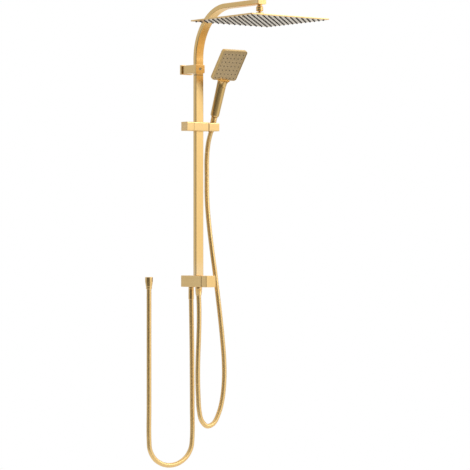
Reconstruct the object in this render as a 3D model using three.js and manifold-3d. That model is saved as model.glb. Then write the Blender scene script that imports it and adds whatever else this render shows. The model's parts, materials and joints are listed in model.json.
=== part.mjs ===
// Rainfall shower column: a wall-mounted riser with a gooseneck arm, a square rain head on a ball
// joint, a sliding handset holder, a two-way diverter, and a hose to the handset and to the supply.
//
// Millimetres. X runs to the right along the wall, Z up. P is the distance out from the wall, so
// Y = -P. The origin is the centre of the diverter's wall plate, on the wall.

import * as THREE from 'three';
import { mergeVertices } from 'three/addons/utils/BufferGeometryUtils.js';
import Module from 'manifold-3d';

// ---------------------------------------------------------------- driving dimensions

const GAP = 0.3; // clearance between neighbouring parts

const COLUMN = { width: 30, depth: 15, corner: 2.5, wall: 1.5, p: 67.5 };
const SEAM_Z = 642; // where the riser ends
const SEAM_TOP = 643.5; // where the gooseneck begins
const BEND = { p: 220, z: 694, radius: 152.5 }; // centre of the gooseneck's bend, to the tube's middle
const ARM_Z = BEND.z + BEND.radius;
const GOOSENECK_STEPS = 16;
const ARM_END_P = 389;
const HEAD_P = 376; // axis of the ball joint and the rain head

const HEAD = { side: 300, corner: 5, bottom: 790, top: 794, plate: 290, plateThickness: 1.2 };
const BALL = { z: 806, radius: 8, seatInner: 8.3, seatOuter: 10, cavity: 10.3, neck: 4.5 };
const SWIVEL = { radius: 10.75, bottom: 818, top: 833, edge: 1.2 };
const STEM = { radius: 5.3, bore: 3, shoulder: 7.5, top: 8 }; // its top is above the arm's underside

const BRACKET = {
  z: 662, width: 35, height: 26, front: 77.5, flange: 8.5, flangeWidth: 44, flangeHeight: 30,
};
const CLAMP_SCREW = { radius: 4, hole: 4.4, key: 2 };

const DIVERTER = {
  side: 36, corner: 2.5, back: 0.4, front: 105.2, knobBack: 107, knobFront: 133, faceThickness: 1.1,
};
const CARTRIDGE = {
  bore: 15, back: 79, radius: 14.7, stem: 4.2, stemEnd: 115.5,
  chamber: { radius: 12.3, back: 84.5, front: 90 },
};
const SPIGOT = { radius: 6.7, seat: 5 }; // the riser's foot, and the floor of its hole in the diverter
const INLET_P = 30;
const OUTLET_P = 69;
const PORT_RADIUS = 8;

const SLIDER = { z: 482, height: 28, back: 52, front: 84, half: 28, corner: 3, knobEnd: -55.5 };
const SPINDLE_RADIUS = 3; // clamps the slider
const PIVOT_RADIUS = 3.5; // carries the holder
const HOLDER = { left: 28.9, right: 69, back: 46, front: 85.5, bottom: 469, top: 495.5, corner: 3 };

const HANDSET = { x: 54.4, p: 66, z: 482, tilt: 20.6 }; // where its axis crosses the holder
const HANDLE = { start: 35.4, end: 168, lower: 13.8, upper: 14.8 };
const NUT = { bottom: -15, top: 35, lower: 8.8, upper: 10.2 };
const SPRAY = {
  front: 19.6, along: 207.5, tilt: 15.4, width: 94.5, length: 108, corner: 8, depth: 12.5, rim: 1.8,
};
const BUTTON = {
  along: 144.4, width: 19.5, length: 20.5, corner: 9.4, crown: 16, back: 9.6, pocket: 6.8,
};

const HOSE_RADIUS = 7.5;
const HOSE_SIDES = 8;
const HOSE_STEP = 35;
const INLET_FERRULE = { top: -18.6, bottom: -57, radius: 8.6 };
const OUTLET_NUT = { top: -18.6, bottom: -45, upper: 10.8, lower: 8.8 };
const CONNECTOR = { x: -162.5, bottom: -23, top: 14, lower: 9.3, upper: 12 };

// Centre lines of the two hoses, as [X, P, Z].
const HANDSET_HOSE_ROUTE = [
  [0, 69, -45.3], [1.2, 69.3, -80], [0.9, 69.8, -130], [-1, 70, -185], [-3.4, 70, -240],
  [-4.4, 70, -300], [-2.6, 70, -355], [1.1, 70, -402], [10.3, 70, -434], [32, 70, -453],
  [58, 70, -445], [79, 70, -412], [92.5, 70, -368], [99.5, 70, -308], [98.5, 70, -245],
  [92.5, 69.5, -180], [84.5, 68, -108], [76, 64.8, -32], [68.6, 61, 35], [61.4, 56.5, 98],
  [55, 49.7, 176], [51.6, 44, 254], [53.2, 40.5, 330], [53.6, 40.5, 390], [54.2, 47.5, 435],
  [54.4, 60.6, 467.7],
];
const SUPPLY_HOSE_ROUTE = [
  [0, 30, -57.3], [1, 30, -110], [2.5, 30, -190], [3.5, 30, -290], [4, 30, -390], [4, 30, -489],
  [-1, 30, -522], [-18.5, 30, -548.5], [-47, 30, -566], [-79, 30, -572], [-112, 30, -566.5],
  [-141, 30, -549], [-158.5, 30, -521], [-162.5, 30, -486], [-162.5, 30, -390],
  [-162.5, 30, -280], [-162.5, 30, -160], [-162.5, 30, -80], [-162.5, 30, -23.3],
];

// ---------------------------------------------------------------- finishes

const FINISHES = {
  gold: { color: 0xd9b370, roughness: 0.28, metalness: 1 },
  brass: { color: 0xb99a5b, roughness: 0.4, metalness: 1 },
  steel: { color: 0xb8bcc0, roughness: 0.35, metalness: 1 },
  rubber: { color: 0x1c1c1c, roughness: 0.8, metalness: 0 },
  silicone: { color: 0x55534f, roughness: 0.6, metalness: 0 },
  nylon: { color: 0xe6e2d8, roughness: 0.55, metalness: 0 },
};

const column = new THREE.Group();

// Adds one named part with a material of its own.
function addPart(name, finish, geometry, parent = column) {
  const material = new THREE.MeshStandardMaterial(FINISHES[finish]);
  const mesh = new THREE.Mesh(geometryOf(solidOf(geometry)), material);
  mesh.name = name;
  parent.add(mesh);
}

// ---------------------------------------------------------------- solids

const wasm = await Module();
wasm.setup();

function signedVolume(position, index) {
  const [a, b, c] = [new THREE.Vector3(), new THREE.Vector3(), new THREE.Vector3()];
  let total = 0;
  for (let i = 0; i < index.length; i += 3) {
    a.fromBufferAttribute(position, index[i]);
    b.fromBufferAttribute(position, index[i + 1]);
    c.fromBufferAttribute(position, index[i + 2]);
    total += a.dot(b.cross(c)) / 6;
  }
  return total;
}

// The closed solid that a geometry encloses, with its faces turned outwards.
function solidOf(geometry) {
  const bare = geometry.clone();
  bare.deleteAttribute('normal');
  bare.deleteAttribute('uv');
  const merged = mergeVertices(bare, 1e-4);
  const position = merged.attributes.position;
  const all = merged.index.array;
  const flip = signedVolume(position, all) < 0;
  const kept = [];
  for (let i = 0; i < all.length; i += 3) {
    const [a, b, c] = [all[i], all[i + 1], all[i + 2]];
    if (a !== b && b !== c && c !== a) kept.push(a, flip ? c : b, flip ? b : c);
  }
  const mesh = new wasm.Mesh({
    numProp: 3,
    vertProperties: new Float32Array(position.array),
    triVerts: new Uint32Array(kept),
  });
  return new wasm.Manifold(mesh);
}

function geometryOf(solid) {
  const mesh = solid.getMesh();
  const geometry = new THREE.BufferGeometry();
  geometry.setAttribute('position', new THREE.BufferAttribute(mesh.vertProperties, 3));
  geometry.setIndex(new THREE.BufferAttribute(mesh.triVerts, 1));
  return geometry;
}

function combine(operation, base, others) {
  return geometryOf(others.reduce((solid, other) => solid[operation](solidOf(other)), solidOf(base)));
}

const cut = (base, ...tools) => combine('subtract', base, tools);
const join = (base, ...pieces) => combine('add', base, pieces);
const common = (base, ...pieces) => combine('intersect', base, pieces);

// ---------------------------------------------------------------- outlines and primitives

function circle(radius, x = 0, y = 0, sides = 20) {
  const points = [];
  for (let i = 0; i < sides; i += 1) {
    const angle = (2 * Math.PI * i) / sides;
    points.push(new THREE.Vector2(x + radius * Math.cos(angle), y + radius * Math.sin(angle)));
  }
  return new THREE.Shape(points);
}

function rectangle(width, height, corner, x = 0, y = 0, steps = 2) {
  const points = [];
  for (let quarter = 0; quarter < 4; quarter += 1) {
    const signX = quarter === 0 || quarter === 3 ? 1 : -1;
    const signY = quarter < 2 ? 1 : -1;
    for (let i = 0; i <= steps; i += 1) {
      const angle = (Math.PI / 2) * (quarter + i / steps);
      points.push(new THREE.Vector2(
        x + signX * (width / 2 - corner) + corner * Math.cos(angle),
        y + signY * (height / 2 - corner) + corner * Math.sin(angle),
      ));
    }
  }
  return new THREE.Shape(points);
}

function withHole(shape, hole) {
  shape.holes.push(hole);
  return shape;
}

// Prisms: alongZ takes an X, Y outline; alongP an X, Z outline; alongX a Y, Z outline.
function alongZ(shape, from, to) {
  const options = { depth: to - from, bevelEnabled: false, steps: 1 };
  return new THREE.ExtrudeGeometry(shape, options).translate(0, 0, from);
}

const alongP = (shape, from, to) => alongZ(shape, from, to).rotateX(Math.PI / 2);

function alongX(shape, from, to) {
  const basis = new THREE.Matrix4().makeBasis(
    new THREE.Vector3(0, 1, 0), new THREE.Vector3(0, 0, 1), new THREE.Vector3(1, 0, 0));
  return alongZ(shape, from, to).applyMatrix4(basis);
}

// Turned pieces: the profile is a list of [radius, height along the axis].
function lathe(profile, sides) {
  return new THREE.LatheGeometry(profile.map(([r, h]) => new THREE.Vector2(Math.max(r, 0), h)), sides);
}

const turnedZ = (profile, sides = 20) => lathe(profile, sides).rotateX(Math.PI / 2);
const turnedP = (profile, sides = 20) => lathe(profile, sides).rotateX(Math.PI);
const turnedX = (profile, sides = 20) => lathe(profile, sides).rotateZ(-Math.PI / 2);

const rod = (radius, from, to) => [[0, from], [radius, from], [radius, to], [0, to]];
const ring = (inner, outer, from, to) => [
  [inner, from], [outer, from], [outer, to], [inner, to], [inner, from]];

// Points of a circular arc as [radius, height], for turned spherical faces.
function arcProfile(radius, fromHeight, toHeight, centre, steps = 3) {
  const start = Math.asin(fromHeight / radius);
  const end = Math.asin(toHeight / radius);
  const points = [];
  for (let i = 0; i <= steps; i += 1) {
    const angle = start + ((end - start) * i) / steps;
    points.push([radius * Math.cos(angle), centre + radius * Math.sin(angle)]);
  }
  return points;
}

// A tube of round section along a hose's centre line.
function hoseTube(route) {
  const points = route.map(([x, p, z]) => new THREE.Vector3(x, -p, z));
  const path = new THREE.CatmullRomCurve3(points, false, 'centripetal');
  const steps = Math.round(path.getLength() / HOSE_STEP);
  const options = { extrudePath: path, steps, bevelEnabled: false };
  return new THREE.ExtrudeGeometry(circle(HOSE_RADIUS, 0, 0, HOSE_SIDES), options);
}

// ---------------------------------------------------------------- diverter

const SCREW_HOLE = 2.2; // radius of the clearance hole for a wall screw
const GRUB = { radius: 2, hole: 2.3 };

// A countersunk wall screw seen from its head: the shank starts at the wall.
function wallScrew(headBack, x, z) {
  const [shank, head, slope] = [1.9, 3.7, 0.6];
  const headTop = headBack + 2.4;
  return turnedP([[0, 0], [shank, 0], [shank, headBack], [head, headBack], [head - slope, headTop],
    [0, headTop]], 12).translate(x, 0, z);
}

function addDiverter() {
  const { side, corner, back, front, knobBack, knobFront, faceThickness } = DIVERTER;
  const screwX = 9;
  const galleryZ = 9; // height of the side galleries above and below the middle one
  const gallery = 2.5;
  const plate = { side: 28, thickness: 3 };
  const cavity = { side: 29, depth: 12, corner: 2 }; // fits over the wall plate
  const portTop = -8;
  const plateHoles = [-screwX, screwX].map((x) => alongP(circle(SCREW_HOLE, x, 0, 12), -1, 4));
  addPart('lower_wall_plate', 'steel', cut(
    alongP(rectangle(plate.side, plate.side, cavity.corner), 0, plate.thickness), ...plateHoles));
  [-screwX, screwX].forEach((x, i) => {
    addPart(`lower_wall_screw_${i + 1}`, 'steel', wallScrew(plate.thickness + GAP, x, 0));
  });

  const port = (p) => alongZ(circle(PORT_RADIUS, 0, -p), -side, portTop);
  const drilling = (radius, z, from, to) => alongP(circle(radius, 0, z, 12), from, to);
  addPart('diverter_body', 'gold', cut(
    alongP(rectangle(side, side, corner), back, front),
    alongP(rectangle(cavity.side, cavity.side, cavity.corner), -1, cavity.depth),
    alongP(circle(CARTRIDGE.bore), CARTRIDGE.back, front + 1),
    port(INLET_P),
    port(OUTLET_P),
    alongZ(circle(5, 0, -INLET_P, 12), portTop - 1, 0),
    drilling(4, 0, INLET_P, CARTRIDGE.back + 1),
    drilling(gallery, -galleryZ, OUTLET_P, CARTRIDGE.back + 1),
    drilling(gallery, galleryZ, COLUMN.p, CARTRIDGE.back + 1),
    alongZ(circle(SPIGOT.radius + GAP, 0, -COLUMN.p), SPIGOT.seat, side),
    alongZ(circle(gallery, 0, -OUTLET_P, 12), -galleryZ - 1, -galleryZ + 4),
  ));

  const waterways = (from, to) => [-galleryZ, 0, galleryZ].map((z) => drilling(gallery, z, from, to));
  const { radius, stem, stemEnd, chamber } = CARTRIDGE;
  const sealBack = CARTRIDGE.back + GAP;
  const sealFront = sealBack + 1.2;
  const housingBack = sealFront + GAP;
  const housingFront = 98;
  addPart('cartridge_seal', 'rubber', cut(
    turnedP(rod(radius - 0.7, sealBack, sealFront)), ...waterways(CARTRIDGE.back, housingBack)));
  addPart('cartridge_housing', 'nylon', cut(
    turnedP(rod(radius, housingBack, housingFront)),
    ...waterways(CARTRIDGE.back, chamber.back + 1.5),
    turnedP(rod(chamber.radius, chamber.back, chamber.front)),
    turnedP(rod(stem + GAP, chamber.front - 2, housingFront + 1)),
  ));
  const nutBack = housingFront + GAP;
  const nutFront = nutBack + 4.3;
  addPart('cartridge_nut', 'brass', cut(
    turnedP(ring(stem + 1.4, radius, nutBack, nutFront)),
    alongP(rectangle(2 * radius + 4, 3, 0.5), nutFront - 1.6, nutFront + 1),
  ));

  const paddle = { radius: chamber.radius - GAP, back: chamber.back + 0.4, front: chamber.front - 1.2 };
  addPart('cartridge_stem', 'brass', turnedP([
    [0, paddle.back], [paddle.radius, paddle.back], [paddle.radius, paddle.front], [stem, paddle.front],
    [stem, stemEnd - 1], [stem - 0.5, stemEnd - 1], [stem - 0.5, stemEnd], [0, stemEnd]]));
  const grubP = 111;
  const faceBack = knobFront - faceThickness;
  addPart('diverter_knob', 'gold', cut(
    alongP(rectangle(side, side, corner), knobBack, faceBack - 0.1),
    turnedP(rod(13, knobBack - 1, knobBack + 0.8)),
    turnedP(rod(stem + 0.4, knobBack - 1, stemEnd + 1)),
    alongZ(circle(GRUB.hole, 0, -grubP, 12), -side, -2),
  ));
  addPart('knob_face', 'gold', alongP(rectangle(side - 1, side - 1, corner), faceBack, knobFront));
  addPart('knob_grub_screw', 'steel', alongZ(circle(GRUB.radius, 0, -grubP, 12), -17, -stem - 0.2));
}

// ---------------------------------------------------------------- hose connections

const HOSE_BORE = 3.5;
const THREAD = { male: 6, female: 6.3 }; // radii of the hose threads

function addHoseConnections() {
  const nipple = { bottom: -30, shoulder: -18.3, top: -8.3, radius: PORT_RADIUS - GAP };
  const washer = { bottom: -31.8, top: -30.3 };
  const seat = washer.bottom - GAP; // what the washer rests on inside the hose's fitting
  const nippleAt = (p) => turnedZ([
    [HOSE_BORE, nipple.bottom], [THREAD.male, nipple.bottom], [THREAD.male, nipple.shoulder],
    [nipple.radius, nipple.shoulder], [nipple.radius, nipple.top], [HOSE_BORE, nipple.top],
    [HOSE_BORE, nipple.bottom]]).translate(0, -p, 0);
  const washerAt = (p) => turnedZ(ring(HOSE_BORE, THREAD.male, washer.bottom, washer.top))
    .translate(0, -p, 0);
  const fitting = (outside, bottom, top) => turnedZ([
    [THREAD.female, top], ...outside, [HOSE_BORE, bottom], [HOSE_BORE, seat], [THREAD.female, seat],
    [THREAD.female, top]]);

  addPart('outlet_nipple', 'brass', nippleAt(OUTLET_P));
  addPart('outlet_washer', 'rubber', washerAt(OUTLET_P));
  addPart('outlet_hose_nut', 'gold', fitting([
    [OUTLET_NUT.upper, OUTLET_NUT.top], [OUTLET_NUT.upper, nipple.bottom],
    [OUTLET_NUT.lower, OUTLET_NUT.bottom],
  ], OUTLET_NUT.bottom, OUTLET_NUT.top).translate(0, -OUTLET_P, 0));

  addPart('inlet_nipple', 'brass', nippleAt(INLET_P));
  addPart('inlet_washer', 'rubber', washerAt(INLET_P));
  addPart('inlet_hose_ferrule', 'gold', fitting([
    [INLET_FERRULE.radius, INLET_FERRULE.top], [INLET_FERRULE.radius, INLET_FERRULE.bottom],
  ], INLET_FERRULE.bottom, INLET_FERRULE.top).translate(0, -INLET_P, 0));

  const { x, bottom, top, lower, upper } = CONNECTOR;
  const socket = { radius: 8, depth: 14 };
  const floor = top - socket.depth;
  addPart('supply_connector', 'gold', turnedZ([
    [socket.radius, top], [upper - 0.5, top], [upper, top - 0.5], [upper, top - 16], [lower, bottom],
    [HOSE_BORE, bottom], [HOSE_BORE, floor], [socket.radius, floor], [socket.radius, top],
  ]).translate(x, -INLET_P, 0));
  addPart('supply_washer', 'rubber', turnedZ(ring(4, socket.radius - 0.4, floor + GAP, floor + 2))
    .translate(x, -INLET_P, 0));
}

// ---------------------------------------------------------------- riser and gooseneck

const columnOutline = (grow, z = -COLUMN.p) => rectangle(
  COLUMN.width + grow, COLUMN.depth + grow, COLUMN.corner + grow / 2, 0, z);
const insideSize = -2 * COLUMN.wall; // the bore of the column, as growth of its outline

function addRiser() {
  const bottom = DIVERTER.side / 2 + GAP;
  const grubZ = bottom + 9;
  const grubHole = (to) => alongP(circle(GRUB.hole, 0, grubZ, 12), 50, to);
  const spigotTop = bottom + 18;
  const innerFit = insideSize - 2 * GAP;
  const oRing = { z: 10.8, centre: 6.1, section: 0.6 };
  const groove = turnedZ(ring(oRing.centre - 0.9, 9, oRing.z - 1.2, oRing.z + 1.2))
    .translate(0, -COLUMN.p, 0);
  addPart('riser_spigot', 'brass', cut(
    join(
      alongZ(circle(SPIGOT.radius, 0, -COLUMN.p), SPIGOT.seat + GAP, bottom + 0.1),
      alongZ(columnOutline(innerFit), bottom, spigotTop),
    ),
    groove,
    alongZ(circle(HOSE_BORE, 0, -COLUMN.p, 12), 0, spigotTop + 1),
    grubHole(64.5),
  ));
  const section = [];
  for (let i = 0; i <= 8; i += 1) {
    const angle = (Math.PI * i) / 4;
    section.push([
      oRing.centre + oRing.section * Math.cos(angle), oRing.z + oRing.section * Math.sin(angle)]);
  }
  addPart('riser_o_ring', 'rubber', turnedZ(section).translate(0, -COLUMN.p, 0));
  addPart('riser_tube', 'gold', cut(
    alongZ(withHole(columnOutline(0), columnOutline(insideSize)), bottom + GAP, SEAM_Z),
    grubHole(64),
  ));
  const tubeBack = COLUMN.p - COLUMN.depth / 2;
  addPart('riser_grub_screw', 'steel', alongP(
    circle(GRUB.radius, 0, grubZ, 12), tubeBack + 0.2, tubeBack + 4.2));

  const couplerWall = 2.5;
  const couplerBore = rectangle(
    COLUMN.width + innerFit - 2 * couplerWall, COLUMN.depth + innerFit - 2 * couplerWall, 1, 0, -COLUMN.p);
  addPart('column_coupler', 'brass', alongZ(
    withHole(columnOutline(innerFit), couplerBore), SEAM_Z - 25, SEAM_Z + 26));
  addPart('column_seal', 'rubber', alongZ(
    withHole(columnOutline(-2 * GAP), columnOutline(insideSize)), SEAM_Z + GAP, SEAM_TOP - GAP));
}

// The gooseneck's centre line: up, round a quarter circle, and straight out to the arm's end. One
// step takes each straight run, and the steps between share the bend.
class Gooseneck extends THREE.Curve {
  constructor(startZ, endP, steps) {
    super();
    Object.assign(this, { startZ, endP, steps });
  }

  angleAt(u) {
    const bendSteps = this.steps - 2;
    return (Math.PI / 2) * THREE.MathUtils.clamp((u * this.steps - 1) / bendSteps, 0, 1);
  }

  getPointAt(u, target = new THREE.Vector3()) {
    if (u === 0) return target.set(0, -COLUMN.p, this.startZ);
    if (u === 1) return target.set(0, -this.endP, ARM_Z);
    const angle = this.angleAt(u);
    const p = BEND.p - BEND.radius * Math.cos(angle);
    return target.set(0, -p, BEND.z + BEND.radius * Math.sin(angle));
  }

  getTangentAt(u, target = new THREE.Vector3()) {
    const angle = this.angleAt(u);
    return target.set(0, -Math.sin(angle), Math.cos(angle));
  }
}

function addGooseneck() {
  const tubeEnd = ARM_END_P - 3;
  const extrudePath = new Gooseneck(SEAM_TOP, tubeEnd, GOOSENECK_STEPS);
  const swept = (shape) => new THREE.ExtrudeGeometry(
    shape, { extrudePath, steps: GOOSENECK_STEPS, bevelEnabled: false });
  const innerWidth = COLUMN.width - 2 * COLUMN.wall;
  const innerDepth = COLUMN.depth - 2 * COLUMN.wall;
  const outline = rectangle(COLUMN.depth, COLUMN.width, COLUMN.corner);
  const bore = rectangle(innerDepth, innerWidth, COLUMN.corner - COLUMN.wall);
  addPart('gooseneck_arm', 'gold', cut(
    swept(withHole(outline, bore)),
    alongZ(circle(STEM.radius + 0.4, 0, -HEAD_P), ARM_Z - COLUMN.depth, ARM_Z),
  ));
  const capBack = tubeEnd + GAP;
  const capPlug = rectangle(innerWidth - 2 * GAP, innerDepth - 2 * GAP, 0.8, 0, ARM_Z);
  addPart('arm_end_cap', 'gold', join(
    alongP(rectangle(COLUMN.width, COLUMN.depth, COLUMN.corner, 0, ARM_Z), capBack, ARM_END_P),
    alongP(capPlug, capBack - 2.4, capBack + 1),
  ));
  const floor = ARM_Z - COLUMN.depth / 2;
  addPart('arm_lock_nut', 'brass', alongZ(
    withHole(circle(9, 0, -HEAD_P, 6), circle(STEM.radius + GAP, 0, -HEAD_P)),
    floor + COLUMN.wall + GAP, floor + 6));
  const neckHeight = Math.sqrt(BALL.radius ** 2 - BALL.neck ** 2);
  const ballFoot = -7;
  const { radius, bottom, top, edge } = SWIVEL;
  const stemTop = floor + STEM.top;
  addPart('ball_stem', 'gold', turnedZ([
    [STEM.bore, BALL.z + ballFoot], ...arcProfile(BALL.radius, ballFoot, neckHeight, BALL.z, 6),
    [BALL.neck, bottom], [radius - edge, bottom], [radius, bottom + edge], [radius, top - edge],
    [radius - edge, top], [STEM.shoulder, top], [STEM.shoulder, floor - GAP], [STEM.radius, floor - GAP],
    [STEM.radius, stemTop], [STEM.bore, stemTop], [STEM.bore, BALL.z + ballFoot],
  ]).translate(0, -HEAD_P, 0));
}

// ---------------------------------------------------------------- upper wall bracket

function addBracket() {
  const { z, width, height, front, flange, flangeWidth, flangeHeight } = BRACKET;
  const screwX = 8.5;
  const wall = 3;
  const boss = { end: 17, play: GAP, counterbore: 12 };
  const grub = { p: 13, top: z - 4 };
  const cavity = { end: 32, corner: 1.5 };
  const bossWall = 2 * (wall + boss.play);
  const holes = [-screwX, screwX].flatMap((x) => [
    alongP(circle(SCREW_HOLE, x, z, 12), -1, boss.end + 1),
    alongP(circle(4, x, z, 16), boss.counterbore, boss.end + 1),
  ]);
  addPart('bracket_base', 'gold', cut(
    join(
      alongP(rectangle(flangeWidth, flangeHeight, 2, 0, z), 0, flange),
      alongP(rectangle(width - bossWall, height - bossWall, cavity.corner, 0, z), flange - 1, boss.end),
    ),
    ...holes,
    alongZ(circle(GRUB.hole, 0, -grub.p, 12), z - height, grub.top),
  ));
  [-screwX, screwX].forEach((x, i) => {
    addPart(`bracket_wall_screw_${i + 1}`, 'steel', wallScrew(boss.counterbore + GAP, x, z));
  });
  addPart('bracket_post', 'gold', cut(
    alongP(rectangle(width, height, 2, 0, z), flange + GAP, front),
    alongP(rectangle(width - 2 * wall, height - 2 * wall, cavity.corner, 0, z), 0, cavity.end),
    alongZ(columnOutline(2 * GAP), z - height, z + height),
    alongP(circle(CLAMP_SCREW.hole, 0, z, 16), COLUMN.p, front + 1),
    alongZ(circle(GRUB.hole, 0, -grub.p, 12), z - height, z - height / 2 + 4),
  ));
  addPart('bracket_grub_screw', 'steel', alongZ(
    circle(GRUB.radius, 0, -grub.p, 12), z - height / 2 + 0.4, grub.top - GAP));
  const columnFront = COLUMN.p + COLUMN.depth / 2;
  addPart('bracket_clamp_screw', 'steel', cut(
    alongP(circle(CLAMP_SCREW.radius, 0, z, 16), columnFront + GAP, front - GAP),
    alongP(circle(CLAMP_SCREW.key, 0, z, 6), columnFront + 1, front + 1),
  ));
}

// ---------------------------------------------------------------- slider and holder

const handsetPlace = new THREE.Matrix4()
  .makeTranslation(HANDSET.x, -HANDSET.p, HANDSET.z)
  .multiply(new THREE.Matrix4().makeRotationX(THREE.MathUtils.degToRad(HANDSET.tilt)));

// Radius of the cone nut, and of the seats around it, at a distance along the handset's axis.
const nutRadius = (along) => NUT.lower
  + ((NUT.upper - NUT.lower) * (along - NUT.bottom)) / (NUT.top - NUT.bottom);

function seatCone(clearance, from, to) {
  const [low, high] = [nutRadius(from) + clearance, nutRadius(to) + clearance];
  return turnedZ([[0, from], [low, from], [high, to], [0, to]]).applyMatrix4(handsetPlace);
}

const SLIDER_P = (SLIDER.back + SLIDER.front) / 2;

function addSlider() {
  const { z, height, back, front, half, corner, knobEnd } = SLIDER;
  const outline = () => rectangle(front - back, height, corner, -SLIDER_P, z);
  const pin = (radius, from, to) => turnedX(rod(radius, from, to), 16).translate(0, -SLIDER_P, z);
  const pivot = { start: 20.3, end: 36.4 };
  const spindleEnd = -44;
  const liner = { outside: 3.4, inside: 2 * GAP }; // growth of the column's outline
  const tubeSide = COLUMN.width / 2;
  addPart('slider_body', 'gold', cut(
    alongX(outline(), -half, half),
    alongZ(columnOutline(liner.outside + 2 * GAP), z - height, z + height),
    pin(SPINDLE_RADIUS + GAP, -half - 1, -tubeSide),
    pin(PIVOT_RADIUS + GAP, pivot.start - GAP, half + 1),
  ));
  addPart('slider_liner', 'nylon', alongZ(
    withHole(columnOutline(liner.outside), columnOutline(liner.inside)), z - height / 2, z + height / 2));
  addPart('holder_pivot', 'steel', pin(PIVOT_RADIUS, pivot.start, pivot.end));
  addPart('holder_washer', 'nylon', turnedX(ring(PIVOT_RADIUS + GAP, 8, half + 0.2, half + 0.7))
    .translate(0, -SLIDER_P, z));

  addPart('clamp_spindle', 'steel', pin(SPINDLE_RADIUS, spindleEnd, -tubeSide - 2.2));
  const groove = { width: 1.6, depth: 1.2, offsets: [-9, -4.5, 0, 4.5, 9] };
  const grooves = groove.offsets.map((offset) => alongX(
    rectangle(front - back + 2, groove.width, 0.2, -SLIDER_P, z + offset, 1),
    knobEnd - 1, knobEnd + groove.depth));
  addPart('lock_knob', 'gold', cut(
    alongX(outline(), knobEnd, -half - GAP), pin(SPINDLE_RADIUS + GAP, spindleEnd - 0.4, -half), ...grooves));
}

function addHolder() {
  const { left, right, back, front, bottom, top, corner } = HOLDER;
  const pivotEnd = 36.8;
  const linerThickness = 0.9;
  const seatClearance = 2 * GAP + linerThickness;
  const outline = rectangle(front - back, top - bottom, corner, -(front + back) / 2, (top + bottom) / 2);
  addPart('handset_holder', 'gold', cut(
    alongX(outline, left, right),
    seatCone(seatClearance, -30, 30),
    turnedX(rod(PIVOT_RADIUS + GAP, left - 1, pivotEnd), 16).translate(0, -SLIDER_P, SLIDER.z),
  ));
  const slab = alongZ(rectangle(60, 60, 1, HANDSET.x, -HANDSET.p), bottom + 0.2, top - 0.2);
  addPart('holder_liner', 'nylon', common(
    cut(seatCone(seatClearance - GAP, -30, 30), seatCone(GAP, -31, 31)), slab));
}

// ---------------------------------------------------------------- handset

function addHandset() {
  const handset = new THREE.Group();
  handset.applyMatrix4(handsetPlace);
  column.add(handset);

  // Spray-face frame: outlines in its plane, depth measured back from the face.
  const face = new THREE.Matrix4()
    .makeTranslation(0, -SPRAY.front, SPRAY.along)
    .multiply(new THREE.Matrix4().makeRotationX(THREE.MathUtils.degToRad(SPRAY.tilt)));
  const slab = (shrink, from, to) => alongP(
    rectangle(SPRAY.width - shrink, SPRAY.length - shrink, SPRAY.corner - shrink / 2, 0, 0, 4), -to, -from)
    .applyMatrix4(face);
  const bore = (radius, from, to) => turnedZ(rod(radius, from, to), 20);

  const pocket = alongP(
    rectangle(BUTTON.width + 2 * GAP, BUTTON.length + 2 * GAP, BUTTON.corner + GAP, 0, BUTTON.along, 5),
    BUTTON.pocket, 30);
  const rim = 2 * SPRAY.rim;
  const recess = 8;
  const faceBack = 2.3;
  const mat = { front: faceBack + GAP, back: faceBack + 2.3 };
  const insert = { radius: 7.2, end: 47.5, seat: 35.7, start: 24 }; // the threaded nipple
  const waterway = 5.5;
  const washer = { from: 22, to: 23.7 };
  addPart('handset_shell', 'gold', cut(
    join(
      turnedZ([[0, HANDLE.start], [11, HANDLE.start], [HANDLE.lower, HANDLE.start + 8],
        [HANDLE.upper, HANDLE.end - 8], [8, HANDLE.end], [0, HANDLE.end]]),
      slab(0, 0, SPRAY.depth),
    ),
    slab(rim, -1, recess),
    slab(-2, -30, 0),
    bore(insert.radius + GAP, HANDLE.start - 1, insert.end + 0.5),
    bore(waterway, insert.end - 7, HANDLE.end - 10),
    pocket,
  ), handset);
  addPart('handset_face', 'gold', slab(rim + 2 * GAP, GAP, faceBack), handset);
  addPart('handset_nozzle_mat', 'silicone', slab(rim + 4, mat.front, mat.back), handset);
  addPart('handset_nipple', 'brass', turnedZ([
    [HOSE_BORE, insert.start], [6.2, insert.start], [6.2, insert.seat], [insert.radius, insert.seat],
    [insert.radius, insert.end], [HOSE_BORE, insert.end], [HOSE_BORE, insert.start]]), handset);
  addPart('handset_washer', 'rubber', turnedZ(ring(HOSE_BORE, 6, washer.from, washer.to)), handset);
  const nutThread = 6.5;
  const nutBore = 3.6;
  const nutFloor = washer.from - GAP;
  addPart('hose_cone_nut', 'gold', turnedZ([
    [nutThread, NUT.top], [nutRadius(NUT.top), NUT.top], [NUT.lower, NUT.bottom], [nutBore, NUT.bottom],
    [nutBore, nutFloor], [nutThread, nutFloor], [nutThread, NUT.top]]), handset);

  const buttonOutline = rectangle(BUTTON.width, BUTTON.length, BUTTON.corner, 0, BUTTON.along, 5);
  addPart('selector_button', 'gold', common(
    alongP(buttonOutline, BUTTON.back, BUTTON.crown + 1),
    turnedZ(rod(BUTTON.crown, BUTTON.along - BUTTON.length, BUTTON.along + BUTTON.length), 36),
  ), handset);
  addPart('button_spring', 'steel', turnedP(ring(3, 4.2, BUTTON.pocket + GAP, BUTTON.back - GAP), 16)
    .translate(0, 0, BUTTON.along), handset);
}

// ---------------------------------------------------------------- rain head

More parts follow.
